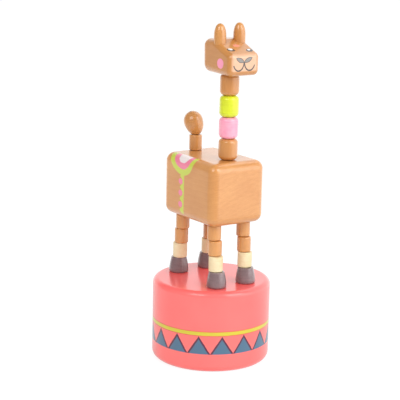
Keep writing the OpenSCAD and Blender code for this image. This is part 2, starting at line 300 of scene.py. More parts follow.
@dataclass(frozen=True)
class TanLacquer:
    """Beech, turned or sawn and sanded, stained tan and sprayed with clear lacquer.

    The stain follows the grain: warm honey with darker growth lines and short pores,
    and the lacquer over it lies smooth with a satin gloss.
    """

    pale: str = "#db9b56"
    deep: str = "#cc8744"
    pore: str = "#b06d30"
    ring_mm: float = 2.2
    fibre_mm: float = 0.3
    fibre_run: float = 14.0
    bump_mm: float = 0.02
    rough: float = 0.42
    gloss: float = 0.17
    grain: float = 1.0

    def make(self, name: str, pith: Point, along: str,
             paint: Optional[Callable[[Surface], None]] = None) -> Material:
        """Makes the finish for one kind of piece.

        Args:
            name: the piece it is for.
            pith: point on the axis of the growth rings, in millimetres.
            along: axis of the fibres, "Y" or "Z".
            paint: lays the painted decoration over the stain.

        Returns:
            The material.
        """
        skin = Surface(f"stained_lacquered_beech_{name}", self.pale)
        tree = skin.tree
        ring = add(tree, Kind.WAVE, skin.at(pith), WAVE_BAND / self.ring_mm, 2.2, 2.0, 0.6, 0.6,
                   wave_type="RINGS", rings_direction=along, wave_profile="SAW")
        fine = [self.fibre_mm] * 3
        fine["XYZ".index(along)] *= self.fibre_run
        fibre = add(tree, Kind.NOISE, skin.at((0, 0, 0), tuple(fine)), 1.0, 3.0, 0.6)
        broad = add(tree, Kind.NOISE, skin.mm, 0.09, 2.0, 0.5)
        streak = add(tree, Kind.MULTIPLY_ADD, ring, 0.1, 0.12)
        streak = add(tree, Kind.MULTIPLY_ADD, fibre, 0.36 * self.grain, streak)
        streak = add(tree, Kind.MULTIPLY_ADD, broad, 0.6, streak)
        stain = add(tree, Kind.RANGE, streak, 0.4, 0.9)
        skin.cover(stain, self.deep)
        pores = add(tree, Kind.RANGE, fibre, 0.68, 0.8, 0.0, 0.25 * self.grain)
        skin.cover(pores, self.pore)
        skin.raise_by(fibre, -0.5 * self.grain)
        skin.raise_by(ring, 0.5 * self.grain)
        spread = 0.08 * self.grain
        skin.rough = add(tree, Kind.RANGE, fibre, 0.2, 0.8, self.rough - spread,
                         self.rough + spread)
        if paint:
            paint(skin)
        return skin.close(self.bump_mm, Coat_Weight=1.0, Coat_Roughness=self.gloss, Coat_IOR=1.65,
                          Specular_IOR_Level=0.4)


@dataclass(frozen=True)
class CoralLacquer:
    """Turned wood in several coats of sprayed coral lacquer, polished.

    The lacquer hides the grain and mirrors what stands on it; a stripe and a ring of
    triangles are painted on it by hand, and the foot's edge shows wear from use.
    """

    coral: str = "#ff736f"
    deep: str = "#fb6b68"
    # Deeper coral of the flat top: painted shade
    top: str = "#ff6562"
    stripe: str = "#d2c431"
    # Darker line along the stripe's edges: painted shade
    stripe_edge_shade: str = "#d2603c"
    blue: str = "#486d88"
    outline: str = "#522641"
    bare: str = "#d9b98c"
    scuffed: str = "#f6b9a8"

    def make(self, drum: "DrumBase") -> Material:
        """Makes the drum's finish.

        Args:
            drum: the drum, with its own sizes and those of its ornament.

        Returns:
            The material.
        """
        skin = Surface("coral_lacquer_on_turned_wood", self.coral)
        tree, (x, y, z) = skin.tree, skin.xyz
        cloud = add(tree, Kind.NOISE, skin.mm, 0.05, 3.0, 0.5)
        skin.cover(add(tree, Kind.RANGE, cloud, 0.4, 0.7, 0.0, 0.8), self.deep)
        # The flat top is painted a deeper coral: painted shade, which also deepens the reflections
        # in it
        flat = add(tree, Kind.RANGE, z, drum.height - 1.4, drum.height - 0.1)
        skin.cover(flat, self.top)
        peel = add(tree, Kind.NOISE, skin.mm, 0.25, 1.0, 0.5)
        wobble = skin.unsteady(0.45, 0.3)
        ring = add(tree, Kind.LENGTH, skin.at((0, 0, 0), (1, 1, ENDLESS)))
        wall = add(tree, Kind.RANGE, ring, drum.radius - 1.2, drum.radius - 0.8)
        # Ring of triangles: distance from the nearest tip along the wall, against the slope
        pitch = 2 * math.pi * drum.radius / drum.points
        slope = drum.point_half * pitch / (drum.tip_z - drum.foot_z)
        lean = 1 / math.hypot(1, slope)
        front = add(tree, Kind.MULTIPLY, y, -1.0)
        angle = add(tree, Kind.ARCTAN2, x, front)
        turn = add(tree, Kind.MULTIPLY_ADD, angle, drum.points / (2 * math.pi),
                   -drum.phase * drum.points / 360)
        saw = add(tree, Kind.PINGPONG, turn, 0.5)
        side = add(tree, Kind.MULTIPLY_ADD, saw, pitch * lean, -drum.tip_z * slope * lean)
        side = add(tree, Kind.MULTIPLY_ADD, z, slope * lean, side)
        side = add(tree, Kind.ADD, side, wobble)
        above = add(tree, Kind.RANGE, z, drum.foot_z - 0.12, drum.foot_z + 0.12)
        above = skin.both(above, wall)
        near = add(tree, Kind.ABSOLUTE, side)
        fill = skin.both(skin.within(side, 0.0, 0.12), above)
        line = skin.both(skin.within(near, 0.38, 0.1), above)
        skin.cover(fill, self.blue)
        skin.cover(line, self.outline)
        # Stripe, with a darker line of painted shade along each of its edges
        off = add(tree, Kind.ADD, z, -drum.stripe_z)
        off = add(tree, Kind.ABSOLUTE, off)
        off = add(tree, Kind.MULTIPLY_ADD, wobble, 0.5, off)
        edge = skin.both(skin.within(off, drum.stripe_half + 0.3, 0.12), wall)
        skin.cover(edge, self.stripe_edge_shade)
        band = skin.both(skin.within(off, drum.stripe_half, 0.1), wall)
        skin.cover(band, self.stripe)
        # Bare hollow, and scuffs where the foot is set down
        hollow = add(tree, Kind.RANGE, ring, drum.bore + 0.9, drum.bore + 0.5)
        below = add(tree, Kind.RANGE, z, drum.cavity + 1.0, drum.cavity + 0.6)
        skin.cover(skin.both(hollow, below), self.bare)
        scuff = add(tree, Kind.NOISE, skin.at((0, 0, 0), (2.2, 2.2, 0.5)), 1.0, 4.0, 0.65)
        scuff = add(tree, Kind.RANGE, scuff, 0.6, 0.68, 0.0, 0.55)
        low = add(tree, Kind.RANGE, z, 1.2, 0.1)
        skin.cover(skin.both(scuff, low), self.scuffed)
        skin.raise_by(peel, 0.25)
        skin.raise_by(add(tree, Kind.MAXIMUM, fill, band), 0.65)
        skin.rough = add(tree, Kind.RANGE, cloud, 0.3, 0.7, 0.29, 0.34)
        return skin.close(0.03, Coat_Weight=0.75, Coat_Roughness=0.13, Coat_IOR=1.45,
                          Specular_IOR_Level=0.4)


@dataclass(frozen=True)
class BeadPaint:
    """Dipped or brushed paint on a turned piece.

    The colour is even, a little deeper where the paint gathered, with faint brush rings round
    the axis, and rims flecked with wear where darker and with a painted highlight where paler.
    """

    name: str
    colour: str
    deep: str
    # Colour flecked on the rims: wear where it is darker, a painted highlight where it is paler
    rim_wear_and_highlight: str
    rough: float
    coat: float
    coat_rough: float = 0.12
    ring_mm: float = 0.7

    def make(self, foot: float, pitch: float, height: float) -> Material:
        """Makes the finish for beads that follow each other up an axis.

        Args:
            foot: height of the first bead's foot.
            pitch: distance from foot to foot.
            height: height of one bead.

        Returns:
            The material.
        """
        skin = Surface(self.name, self.colour)
        tree, z = skin.tree, skin.xyz[2]
        cloud = add(tree, Kind.NOISE, skin.mm, 0.22, 3.0, 0.55)
        skin.cover(add(tree, Kind.RANGE, cloud, 0.45, 0.72), self.deep)
        brush = add(tree, Kind.NOISE, skin.at((0, 0, 0), (6.0, 6.0, self.ring_mm)), 1.0, 2.0, 0.5)
        skin.cover(add(tree, Kind.RANGE, brush, 0.5, 0.72, 0.0, 0.7), self.deep)
        level = add(tree, Kind.ADD, z, -foot)
        level = add(tree, Kind.MODULO, level, pitch)
        level = add(tree, Kind.ADD, level, -height / 2)
        level = add(tree, Kind.ABSOLUTE, level)
        # Flecks at both rims: wear where the rim colour is darker, a painted highlight where it is
        # paler
        rim = add(tree, Kind.RANGE, level, height / 2 - 0.45, height / 2 - 0.05)
        grit = add(tree, Kind.NOISE, skin.mm, 1.6, 3.0, 0.6)
        rim_wear_and_highlight_mask = skin.both(rim, add(tree, Kind.RANGE, grit, 0.5, 0.66, 0.0, 0.6))
        skin.cover(rim_wear_and_highlight_mask, self.rim_wear_and_highlight)
        skin.raise_by(brush, 0.6)
        skin.raise_by(grit, 0.3)
        skin.rough = add(tree, Kind.RANGE, grit, 0.3, 0.7, self.rough - 0.05, self.rough + 0.07)
        return skin.close(0.035, Coat_Weight=self.coat, Coat_Roughness=self.coat_rough,
                          Specular_IOR_Level=0.4)


# The fourth colour flecks the rims: wear on the cream, a painted highlight on the mauve, pink and
# yellow
CREAM = BeadPaint("cream_eggshell_paint", "#ecdcb4", "#e4cfa0", "#d3a972", 0.55, 0.15, 0.35)
MAUVE = BeadPaint("mauve_gloss_paint", "#836e70", "#776264", "#a39192", 0.3, 1.0, 0.1)
PINK = BeadPaint("pink_gloss_paint", "#fba9be", "#f694b0", "#fbc6d4", 0.36, 0.8, 0.18)
YELLOW = BeadPaint("yellow_gloss_paint", "#d8e11d", "#ccd315", "#f1f09a", 0.36, 0.8, 0.18)


@dataclass(frozen=True)
class BareBeech:
    """Unfinished beech, turned and left raw.

    Pale straw wood with short brown rays and fine turning rings, quite matt.
    """

    pale: str = "#dcb98c"
    deep: str = "#c79c69"
    ray: str = "#a9794a"
    lathe_mm: float = 0.8

    def make(self) -> Material:
        """Makes the finish.

        Returns:
            The material.
        """
        skin = Surface("bare_turned_beech", self.pale)
        tree = skin.tree
        grain = add(tree, Kind.NOISE, skin.at((0, 0, 0), (0.5, 9.0, 9.0)), 1.0, 3.0, 0.6)
        skin.cover(add(tree, Kind.RANGE, grain, 0.4, 0.7, 0.0, 0.9), self.deep)
        fleck = add(tree, Kind.NOISE, skin.at((0, 0, 0), (0.35, 2.0, 2.0)), 1.0, 2.0, 0.6)
        skin.cover(add(tree, Kind.RANGE, fleck, 0.66, 0.76, 0.0, 0.7), self.ray)
        lathe = add(tree, Kind.WAVE, skin.mm, WAVE_BAND / self.lathe_mm, 0.6, 2.0, 0.4, 0.5,
                    wave_type="RINGS", rings_direction="Z")
        skin.raise_by(lathe, 0.4)
        skin.raise_by(grain, 0.6)
        skin.rough = add(tree, Kind.RANGE, grain, 0.3, 0.7, 0.55, 0.72)
        return skin.close(0.04, Specular_IOR_Level=0.3)


@dataclass(frozen=True)
class CottonCord:
    """Twisted cotton cord, undyed.

    Soft off-white with fine fibres; the strands are in the mesh.
    """

    pale: str = "#efe6d2"
    deep: str = "#cbbd9f"

    def make(self) -> Material:
        """Makes the finish.

        Returns:
            The material.
        """
        skin = Surface("twisted_cotton_cord", self.pale)
        tree = skin.tree
        # Fibres are drawn at 0.12 mm, coarser than real cotton, so that they show
        fibre = add(tree, Kind.NOISE, skin.at((0, 0, 0), (0.12, 0.12, 0.3)), 1.0, 3.0, 0.6)
        skin.cover(add(tree, Kind.RANGE, fibre, 0.4, 0.75, 0.0, 0.9), self.deep)
        skin.raise_by(fibre, 1.0)
        skin.rough = add(tree, Kind.RANGE, fibre, 0.3, 0.7, 0.8, 0.95)
        return skin.close(0.05, Sheen_Weight=0.3, Specular_IOR_Level=0.2)


@dataclass(frozen=True)
class SpringWire:
    """Drawn spring steel wire, lightly oiled.

    Grey metal with fine draw marks along the wire and a soft shine.
    """

    bright: str = "#b9bcc0"
    dull: str = "#8d9095"

    def make(self) -> Material:
        """Makes the finish.

        Returns:
            The material.
        """
        skin = Surface("drawn_spring_steel", self.bright)
        tree = skin.tree
        draw = add(tree, Kind.NOISE, skin.at((0, 0, 0), (1.5, 1.5, 0.12)), 1.0, 3.0, 0.6)
        skin.cover(add(tree, Kind.RANGE, draw, 0.4, 0.7, 0.0, 0.8), self.dull)
        skin.raise_by(draw, 1.0)
        skin.rough = add(tree, Kind.RANGE, draw, 0.3, 0.7, 0.24, 0.4)
        return skin.close(0.01, Metallic=1.0)


def settle(bm: BMesh, name: str, sharp: float = CRISP) -> Object:
    """Closes a mesh that was modelled in millimetres and makes it an object in metres.

    Args:
        bm: the mesh; it is freed.
        name: name of the piece.
        sharp: edges sharper than this angle in degrees stay crisp.

    Returns:
        The piece, at the origin.
    """
    bmesh.ops.remove_doubles(bm, verts=bm.verts, dist=MERGE)
    bmesh.ops.dissolve_degenerate(bm, dist=MERGE, edges=bm.edges)
    bmesh.ops.recalc_face_normals(bm, faces=bm.faces)
    bmesh.ops.scale(bm, vec=(MM, MM, MM), verts=bm.verts)
    mesh = bpy.data.meshes.new(name)
    bm.to_mesh(mesh)
    bm.free()
    for face in mesh.polygons:
        face.use_smooth = True
    mesh.set_sharp_from_angle(angle=math.radians(sharp))
    piece = bpy.data.objects.new(name, mesh)
    bpy.context.scene.collection.objects.link(piece)
    return piece


def turn_profile(corners: Sequence[Point], steps: int, closed: bool, arc: int = 5) -> BMesh:
    """Turns a half profile about the Z axis.

    Args:
        corners: radius, height and rounding of each corner in order.
        steps: steps round the axis.
        closed: whether the last corner joins the first, as on a bored piece.
        arc: segments in a rounding.

    Returns:
        The turned mesh, in millimetres.
    """
    bm = bmesh.new()
    verts = [bm.verts.new((r, 0, z)) for r, z, _ in corners]
    for a, b in zip(verts, verts[1:] + verts[:1] if closed else verts[1:]):
        bm.edges.new((a, b))
    for vert, (_, _, rounding) in zip(verts, corners):
        if rounding:
            bmesh.ops.bevel(bm, geom=[vert], offset=rounding, offset_type="OFFSET", segments=arc,
                            profile=0.5, affect="VERTICES", material=-1)
    bmesh.ops.spin(bm, geom=bm.verts[:] + bm.edges[:], cent=(0, 0, 0), axis=(0, 0, 1),
                   angle=2 * math.pi, steps=steps, use_merge=True)
    bmesh.ops.remove_doubles(bm, verts=bm.verts, dist=MERGE)
    bmesh.ops.recalc_face_normals(bm, faces=bm.faces)
    return bm


def moved(bm: BMesh, spot: Point, turn: Optional[Matrix] = None) -> BMesh:
    """Turns a mesh about its origin and moves it to its place.

    Args:
        bm: the mesh.
        spot: where its origin goes.
        turn: turn before the move.

    Returns:
        The same mesh.
    """
    matrix = Matrix.Translation(spot) @ (turn or Matrix())
    bmesh.ops.transform(bm, matrix=matrix, verts=bm.verts)
    return bm


def rod(bm: BMesh, start: Point, end: Point, radius: float, sides: int = 40) -> None:
    """Adds a plain rod between two points, to cut a hole with.

    Args:
        bm: mesh to add to.
        start: middle of one end.
        end: middle of the other end.
        radius: its radius.
        sides: sides of the rod.
    """
    line = Vector(end) - Vector(start)
    turn = Vector((0, 0, 1)).rotation_difference(line).to_matrix().to_4x4()
    matrix = Matrix.Translation((Vector(start) + Vector(end)) / 2) @ turn
    bmesh.ops.create_cone(bm, cap_ends=True, segments=sides, radius1=radius, radius2=radius,
                          depth=line.length, matrix=matrix)


def drilled(piece: Object, holes: Sequence[tuple[Point, Point, float]]) -> None:
    """Drills round holes into a piece.

    Args:
        piece: the piece; its mesh is replaced by the drilled one.
        holes: start, end and radius of each hole, in millimetres.
    """
    bm = bmesh.new()
    for start, end, radius in holes:
        rod(bm, start, end, radius)
    cutter = settle(bm, f"{piece.name}_cutter")
    cut = piece.modifiers.new("holes", "BOOLEAN")
    cut.operation, cut.solver, cut.object = "DIFFERENCE", "EXACT", cutter
    bpy.context.view_layer.update()
    solid = piece.evaluated_get(bpy.context.evaluated_depsgraph_get())
    mesh = bpy.data.meshes.new_from_object(solid)
    piece.modifiers.clear()
    old, piece.data = piece.data, mesh
    bpy.data.meshes.remove(old)
    rods = cutter.data
    bpy.data.objects.remove(cutter)
    bpy.data.meshes.remove(rods)
    mesh.name = piece.name
    mesh.set_sharp_from_angle(angle=math.radians(CRISP))


def even_normals(piece: Object) -> None:
    """Keeps a block's flat faces flat beside its rounded edges."""
    weigh = piece.modifiers.new("even_normals", "WEIGHTED_NORMAL")
    weigh.keep_sharp = True


def bead(name: str, spot: Point, radius: float, height: float, bore: float, rounding: float,
         lip: float = 0.15, steps: int = 56, arc: int = 5) -> Object:
    """Turns one bored bead.

    Args:
        name: name of the piece.
        spot: middle of its foot.
        radius: its radius.
        height: its height.
        bore: radius of its bore.
        rounding: rounding of its rims.
        lip: rounding of the bore's mouths.
        steps: steps round the axis.
        arc: segments in a rounding.

    Returns:
        The bead, not yet dressed.
    """
    bm = turn_profile([(bore, 0, lip), (radius, 0, rounding), (radius, height, rounding),
                       (bore, height, lip)], steps, closed=True, arc=arc)
    piece = settle(moved(bm, spot), name)
    even_normals(piece)
    return piece


def strand(bm: BMesh, path: Sequence[Point], radius: float, lobes: int = 3,
           lay_mm: float = 4.0, sides: int = 15) -> None:
    """Sweeps a twisted round section along a path.

    Args:
        bm: mesh to add to.
        path: points of the middle line, in millimetres.
        radius: outer radius.
        lobes: strands that show in the section, 0 for a plain wire.
        lay_mm: length of one full twist.
        sides: sides of the section.
    """
    points = [Vector(p) for p in path]
    ring = bmesh.ops.create_circle(bm, segments=sides, radius=radius)["verts"]
    for vert in ring:
        wave = math.cos(lobes * math.atan2(vert.co.y, vert.co.x)) if lobes else 1.0
        vert.co *= 0.9 + 0.1 * wave
    edges = list({e for v in ring for e in v.link_edges})
    bearing, run = Vector((0, 0, 1)), 0.0
    spin, old = Quaternion(), Matrix()
    for i, point in enumerate(points):
        ahead = points[min(i + 1, len(points) - 1)] - points[max(i - 1, 0)]
        spin = bearing.rotation_difference(ahead) @ spin
        bearing = ahead
        run += (point - points[i - 1]).length if i else 0.0
        twist = Matrix.Rotation(2 * math.pi * run / lay_mm if lobes else 0.0, 4, "Z")
        new = Matrix.Translation(point) @ spin.to_matrix().to_4x4() @ twist
        if i:
            grown = bmesh.ops.extrude_edge_only(bm, edges=edges)["geom"]
            ring = [g for g in grown if isinstance(g, BMVert)]
            edges = [g for g in grown if isinstance(g, BMEdge)]
        bmesh.ops.transform(bm, matrix=new @ old.inverted(), verts=ring)
        old = new
    ends = [e for e in bm.edges if e.is_boundary]
    bmesh.ops.holes_fill(bm, edges=ends, sides=0)


def line_points(corners: Sequence[Point], step: float = 0.35) -> list[Point]:
    """Points at even steps along straight runs between corners.

    Args:
        corners: corners of the line.
        step: longest distance between two points.

    Returns:
        The points, corners among them.
    """
    points = [Vector(corners[0])]
    for a, b in zip(corners, corners[1:]):
        count = max(1, math.ceil((Vector(b) - Vector(a)).length / step))
        points += [Vector(a).lerp(Vector(b), i / count) for i in range(1, count + 1)]
    return [tuple(p) for p in points]


def place(piece: Object, body: str, slot: str, material: Material, *nodes: str) -> Object:
    """Dresses a finished piece and hangs it on its body.

    Args:
        piece: the piece.
        body: body that it moves with, empty for a length across a joint that stays on no body.
        slot: material slot of the record; not used.
        material: its finish.
        nodes: frame nodes that it stands for.

    Returns:
        The piece.
    """
    piece.data.materials.clear()
    piece.data.materials.append(material)
    if nodes:
        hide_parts(*nodes)
    if body:
        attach(piece, body)
    LOG.info("%s: %d faces on %s", piece.name, len(piece.data.polygons), body or "a blend")
    return piece


@dataclass
class DrumBase:
    """Hollow drum with its push button and return spring."""

    radius: float = 25.0
    height: float = DRUM_TOP
    bore: float = 20.2
    cavity: float = HOLLOW_TOP
    foot_round: float = 3.0
    top_round: float = 2.4
    chamfer: float = 0.6
    guide: float = GUIDE_R
    stripe_z: float = 17.0
    stripe_half: float = 0.74
    points: int = 16
    point_half: float = 0.47
    foot_z: float = 8.15
    tip_z: float = 15.2
    phase: float = -0.8
    button_foot: float = 2.2
    button_r: float = 19.8
    button_t: float = 6.0
    button_round: float = 1.0
    dish: tuple[Point, ...] = ((0.0, 0.5, 0.0), (15.0, 0.15, 0.0), (17.5, 0.0, 1.0))
    boss_r: float = 9.39
    boss_h: float = 1.5
    sink_r: float = 1.8
    sink_d: float = 3.0
    hole_r: float = 0.9
    wire: float = 0.6
    coil: float = 10.5
    turns: float = 5.0
    seat: float = 0.15
    flat: float = 0.1
    climb: float = 0.86

    def build(self) -> None:
        """Makes and dresses the drum, the button and the spring."""
        self.drum()
        self.button()
        self.spring()

    def drum(self) -> None:
        """Turns the drum with its hollow and drills the four cord holes."""
        edge = self.bore + self.chamfer
        bm = turn_profile([(0, self.cavity, 0), (self.bore, self.cavity, 0.5),
                           (self.bore, self.chamfer, 0), (edge, 0, 0),
                           (self.radius, 0, self.foot_round),
                           (self.radius, self.height, self.top_round), (0, self.height, 0)],
                          steps=144, closed=False, arc=9)
        drum = settle(bm, "drum")
        drilled(drum, [((*leg.axis(), self.cavity - 1), (*leg.axis(), self.height + 1), self.guide)
                       for leg in Leg])
        even_normals(drum)
        place(drum, "base", "coral_lacquer", CoralLacquer().make(self), "base_drum")

    def button(self) -> None:
        """Turns the button with its boss and drills the holes and sinks for the cords."""
        foot, top = self.button_foot, self.button_foot + self.button_t
        bm = turn_profile([*((r, foot + rise, rounding) for r, rise, rounding in self.dish),
                           (self.button_r, foot, self.button_round),
                           (self.button_r, top, self.button_round), (self.boss_r, top, 0),
                           (self.boss_r, top + self.boss_h, 0.4), (0, top + self.boss_h, 0)],
                          steps=112, closed=False, arc=6)
        button = settle(bm, "button")
        for high, radius in ((top + 2, self.hole_r), (foot + self.sink_d, self.sink_r)):
            drilled(button, [((*leg.axis(), foot - 1), (*leg.axis(), high), radius) for leg in Leg])
        even_normals(button)
        place(button, "button", "bare_wood", BARE, "push_button")

    def spring(self) -> None:
        """Winds the spring with its end turns laid flat."""
        low = self.button_foot + self.button_t + self.wire + self.seat
        high = self.cavity - self.wire - self.seat
        path, steps = [], int(self.turns * 40)
        for i in range(steps + 1):
            angle, t = 2 * math.pi * self.turns * i / steps, i / steps
            rise = min(max((t - self.flat) / (1 - 2 * self.flat), 0.0), 1.0)
            path.append((self.coil * math.cos(angle), self.coil * math.sin(angle),
                         low + (high - low) * (self.climb * rise + (1 - self.climb) * t)))
        bm = bmesh.new()
        strand(bm, path, self.wire, lobes=0, sides=12)
        spring = settle(bm, "spring")
        place(spring, "base", "spring_steel", SpringWire().make(), "return_spring")
        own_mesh(spring)


@dataclass
class Legs:
    """Hooves on the drum and three beads above each."""

    foot: float = DRUM_TOP
    hoof_r: float = 4.2
    hoof_top: float = 3.25
    hoof_h: float = 6.7
    bulge: float = 0.16
    rim: float = 0.8
    lip: float = 0.2
    guide: float = GUIDE_R
    bead_r: float = 2.9
    cuff_r: float = 3.0
    bead_h: float = 6.4
    gap: float = 0.1
    bead_round: float = 0.55
    cuff_round: float = 0.3

    def build(self) -> None:
        """Makes and dresses all four legs."""
        first, pitch = self.foot + self.hoof_h + self.gap, self.bead_h + self.gap
        mauve = MAUVE.make(self.foot, 2 * self.hoof_h, self.hoof_h)
        cream = CREAM.make(first, pitch, self.bead_h)
        rows = (("cuff", self.cuff_r, self.cuff_round, "cream_paint"),
                ("lower_leg", self.bead_r, self.bead_round, "tan_lacquer"),
                ("upper_leg", self.bead_r, self.bead_round, "tan_lacquer"))
        for leg in Leg:
            self.hoof(leg, mauve)
            tan = TanLacquer().make(f"leg_{leg.label}", (leg.axis(2)[0] * 1.4, 6.0, 50.0), "Z")
            for i, (name, radius, rounding, slot) in enumerate(rows):
                label = f"{name}_{leg.label}"
                spot = (*leg.axis(i + 1), first + i * pitch)
                piece = bead(f"{label}_bead", spot, radius, self.bead_h, self.guide, rounding)
                place(piece, label, slot, tan if i else cream, label)

    def hoof(self, leg: Leg, finish: Material) -> None:
        """Turns one flared hoof with a rounded rim and a lip at the top.

        Args:
            leg: the leg it belongs to.
            finish: its paint.
        """
        rise = self.hoof_h - self.rim - self.lip
        flare = [(self.hoof_r + t * (self.hoof_top - self.hoof_r)
                  + self.bulge * math.sin(math.pi * t), self.rim + t * rise, 0)
                 for t in (i / 12 for i in range(1, 12))]
        bm = turn_profile([(self.guide, 0, 0), (self.hoof_r, 0, self.rim * 0.9), *flare,
                           (self.hoof_top, self.hoof_h, self.lip), (self.guide, self.hoof_h, 0.15)],
                          steps=64, closed=True)
        hoof = settle(moved(bm, (*leg.axis(), self.foot)), f"hoof_{leg.label}_turned")
        place(hoof, "base", "mauve_paint", finish, f"hoof_{leg.label}")


@dataclass
class Body:
    """Rounded block of the body with four slanting cord holes and a painted blanket."""

    width: float = 27.0
    length: float = 37.2
    height: float = 26.4
    rounding: float = 3.8
    foot: float = BODY_FOOT
    bore: float = 0.8
    blanket_y: float = 3.3
    blanket_z: float = 89.0
    band_r: tuple[float, float, float] = (9.3, 6.75, 4.2)
    ripple: str = "#c27c3a"
    ripple_mm: Point = (2.2, 40.0, 0.45)
    ripple_turn: float = -8.0
    swing: float = 0.08
    lean: float = 0.1
    lean_z: float = 80.0
    lime: str = "#c8d341"
    pink: str = "#f07e9b"
    white: str = "#efe2e0"
    flank_x: tuple[float, float] = (9.6, 10.3)
    strap_y: float = 2.85
    strap_z: tuple[float, float] = (63.2, 80.8)
    strap_half: float = 0.5
    tooth: float = 2.55
    dot: tuple[float, float] = (1.5, 1.25)
    dot_off: float = 2.0
    dots_z: tuple[float, float, float] = (76.9, 72.0, 67.1)

    def build(self) -> None:
        """Makes and dresses the body."""
        bm = bmesh.new()
        bmesh.ops.create_cube(bm, size=1.0)
        bmesh.ops.scale(bm, vec=(self.width, self.length, self.height), verts=bm.verts)
        bmesh.ops.translate(bm, vec=(0, 0, self.foot + self.height / 2), verts=bm.verts)
        bmesh.ops.bevel(bm, geom=bm.edges[:] + bm.verts[:], offset=self.rounding,
                        offset_type="OFFSET", segments=10, profile=0.5, affect="EDGES",
                        material=-1, clamp_overlap=False)
        body = settle(bm, "body")
        holes = []
        for leg in Leg:
            low = Vector((*leg.axis(BODY_LEVEL), self.foot))
            high = Vector((*leg.leaving, self.foot + self.height))
            past = (high - low).normalized() * 0.6
            holes.append((tuple(low - past), tuple(high + past), self.bore))
        drilled(body, holes)
        even_normals(body)
        finish = TanLacquer(gloss=0.2).make("body", (24.0, 0.0, 8.0), "Y", self.paint)
        place(body, "torso", "tan_lacquer", finish, "torso")

    def paint(self, skin: Surface) -> None:
        """Paints the half-round blanket and its strap on both flanks.

        Args:
            skin: the surface to paint on.
        """
        tree, (x, y, z) = skin.tree, skin.xyz
        # Ripples of the growth rings, which show on the sawn ends
        turn = Euler((0, math.radians(self.ripple_turn), 0))
        ripple = add(tree, Kind.NOISE, skin.at((0, 0, 0), self.ripple_mm, turn), 1.0, 2.0, 0.5)
        end = add(tree, Kind.ABSOLUTE, y)
        end = add(tree, Kind.RANGE, end, self.length / 2 - 2.2, self.length / 2 - 0.4, 0.1, 1.0)
        skin.cover(skin.both(add(tree, Kind.RANGE, ripple, 0.42, 0.7, 0.0, 0.4), end), self.ripple)
        skin.raise_by(skin.both(ripple, end), 1.5)
        out = add(tree, Kind.ABSOLUTE, x)
        flank = add(tree, Kind.RANGE, out, *self.flank_x)
        wobble = skin.unsteady(0.5, 0.5)
        # The half rounds swing out towards the tail
        swung = add(tree, Kind.ADD, y, -self.blanket_y)
        rise = add(tree, Kind.SUBTRACT, z, self.lean_z)
        swung = add(tree, Kind.MULTIPLY_ADD, rise, -self.lean, swung)
        side = add(tree, Kind.ABSOLUTE, swung)
        swung = add(tree, Kind.MULTIPLY_ADD, side, -self.swing, swung)
        drop = add(tree, Kind.ADD, z, -self.blanket_z)
        round_z = add(tree, Kind.LENGTH, add(tree, Kind.COMBINE, 0.0, swung, drop))
        round_z = add(tree, Kind.ADD, round_z, wobble)
        # Strap: a line with teeth towards the tail, and dots between the teeth
        pitch = self.dots_z[0] - self.dots_z[1]
        tooth = add(tree, Kind.ADD, z, -self.dots_z[1])
        tooth = add(tree, Kind.PINGPONG, tooth, pitch / 2)
        reach = add(tree, Kind.RANGE, tooth, 0.7, pitch / 2, self.strap_half, self.tooth)
        behind = add(tree, Kind.ADD, y, -self.strap_y)
        back = add(tree, Kind.SUBTRACT, behind, reach)
        front = add(tree, Kind.MULTIPLY_ADD, behind, -1.0, -self.strap_half)
        strap = add(tree, Kind.MAXIMUM, back, front)
        strap = add(tree, Kind.MULTIPLY_ADD, wobble, 0.6, strap)
        foot, head = self.strap_z
        low = add(tree, Kind.RANGE, z, foot - 0.2, foot + 0.2)
        under = add(tree, Kind.RANGE, z, head + 0.2, head - 0.2)
        strip = skin.both(skin.both(low, under), flank)
        for height in self.dots_z:
            spot = (0, self.strap_y + self.dot_off, height)
            dot = skin.oval(spot, (ENDLESS, *self.dot), soft=0.1)
            skin.cover(skin.both(dot, strip), self.pink)
        line = skin.both(skin.within(strap, 0.0, 0.12), strip)
        skin.cover(line, self.lime)
        painted = line
        for radius, colour in zip(self.band_r, (self.lime, self.pink, self.white)):
            band = skin.both(skin.within(round_z, radius, 0.14), flank)
            skin.cover(band, colour)
            painted = add(tree, Kind.MAXIMUM, painted, band)
        skin.raise_by(painted, 1.2)


@dataclass
class Neck:
    """Four neck beads on a pair of cords."""

    radius: float = 4.0
    height: float = 8.85
    rounding: float = 1.8
    bore: float = 1.9
    foot: float = TOP_SEAT
    gap: float = 0.1

    def build(self) -> None:
        """Makes and dresses the beads."""
        pitch = self.height + self.gap
        tan = TanLacquer("#d2924d", "#c37e3b")
        finishes = {
            "neck_bead_bottom": (tan.make("neck_low", (9.0, 5.0, 90.0), "Z"), "tan_lacquer"),
            "neck_bead_pink": (PINK.make(self.foot, pitch, self.height), "pink_paint"),
            "neck_bead_yellow": (YELLOW.make(self.foot, pitch, self.height), "yellow_paint"),
            "neck_bead_top": (tan.make("neck_high", (-7.0, 8.0, 120.0), "Z"), "tan_lacquer"),
        }
        for i, (name, (finish, slot)) in enumerate(finishes.items()):
            piece = bead(f"{name}_turned", (0, NECK_Y, self.foot + i * pitch), self.radius,
                         self.height, self.bore, self.rounding, lip=0.2, steps=64, arc=8)
            place(piece, name, slot, finish, name)


